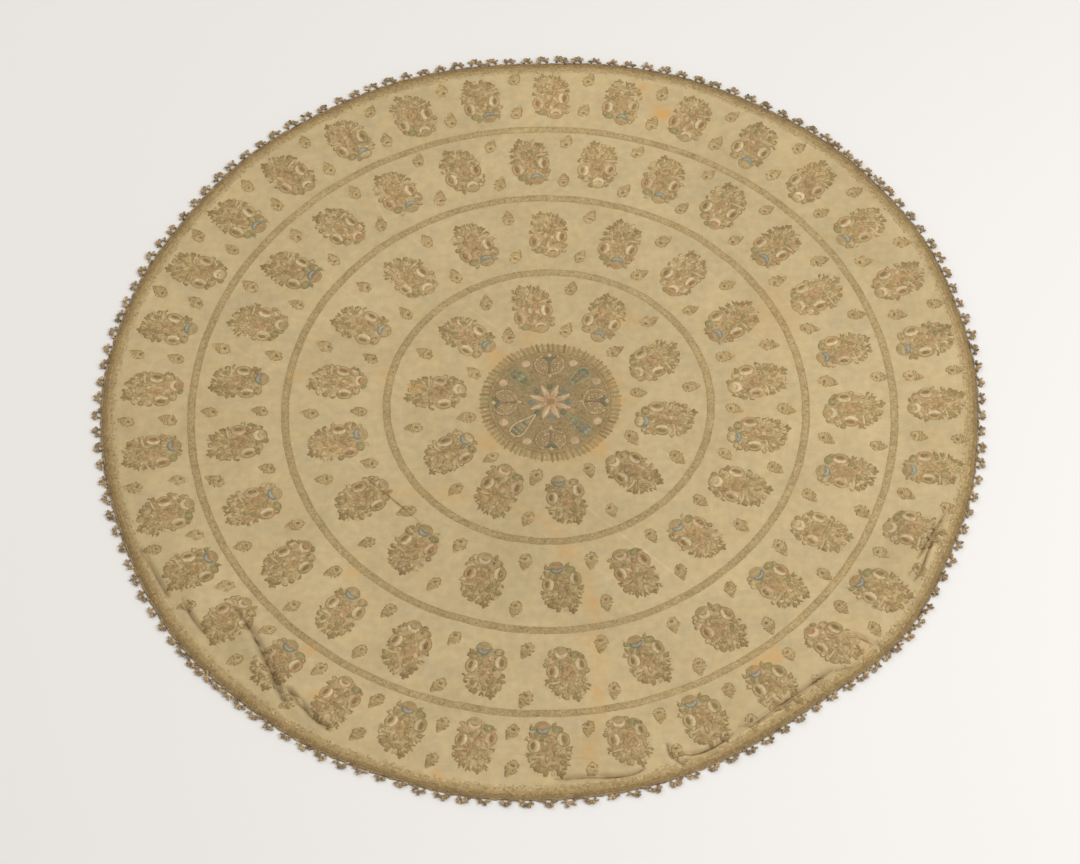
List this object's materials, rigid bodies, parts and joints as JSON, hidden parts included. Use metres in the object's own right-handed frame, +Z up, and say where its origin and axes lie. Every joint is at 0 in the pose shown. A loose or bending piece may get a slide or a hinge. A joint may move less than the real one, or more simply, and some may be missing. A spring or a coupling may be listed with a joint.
{
  "type": "round embroidered tablecloth",
  "caption": "Round linen tablecloth with rings of embroidered flower sprays, a central medallion and a needle lace edging, lying flat.",
  "frame": {"origin": "middle of the cloth's underside, on the surface that it lies on", "axes": "+Z up out of the embroidered face, +Y away from the near edge, +X to the right"},
  "size_m": [1.2755, 1.2846, 0.0185],
  "materials": {
    "linen": "plain woven linen, matt, aged to a warm tan, with embroidery in silk thread",
    "lace_thread": "knotted silk and cotton thread, matt, brown"
  },
  "bodies": {
    "root": {"cloth": "linen", "lace_edging": "lace_thread"}
  },
  "joints": []
}
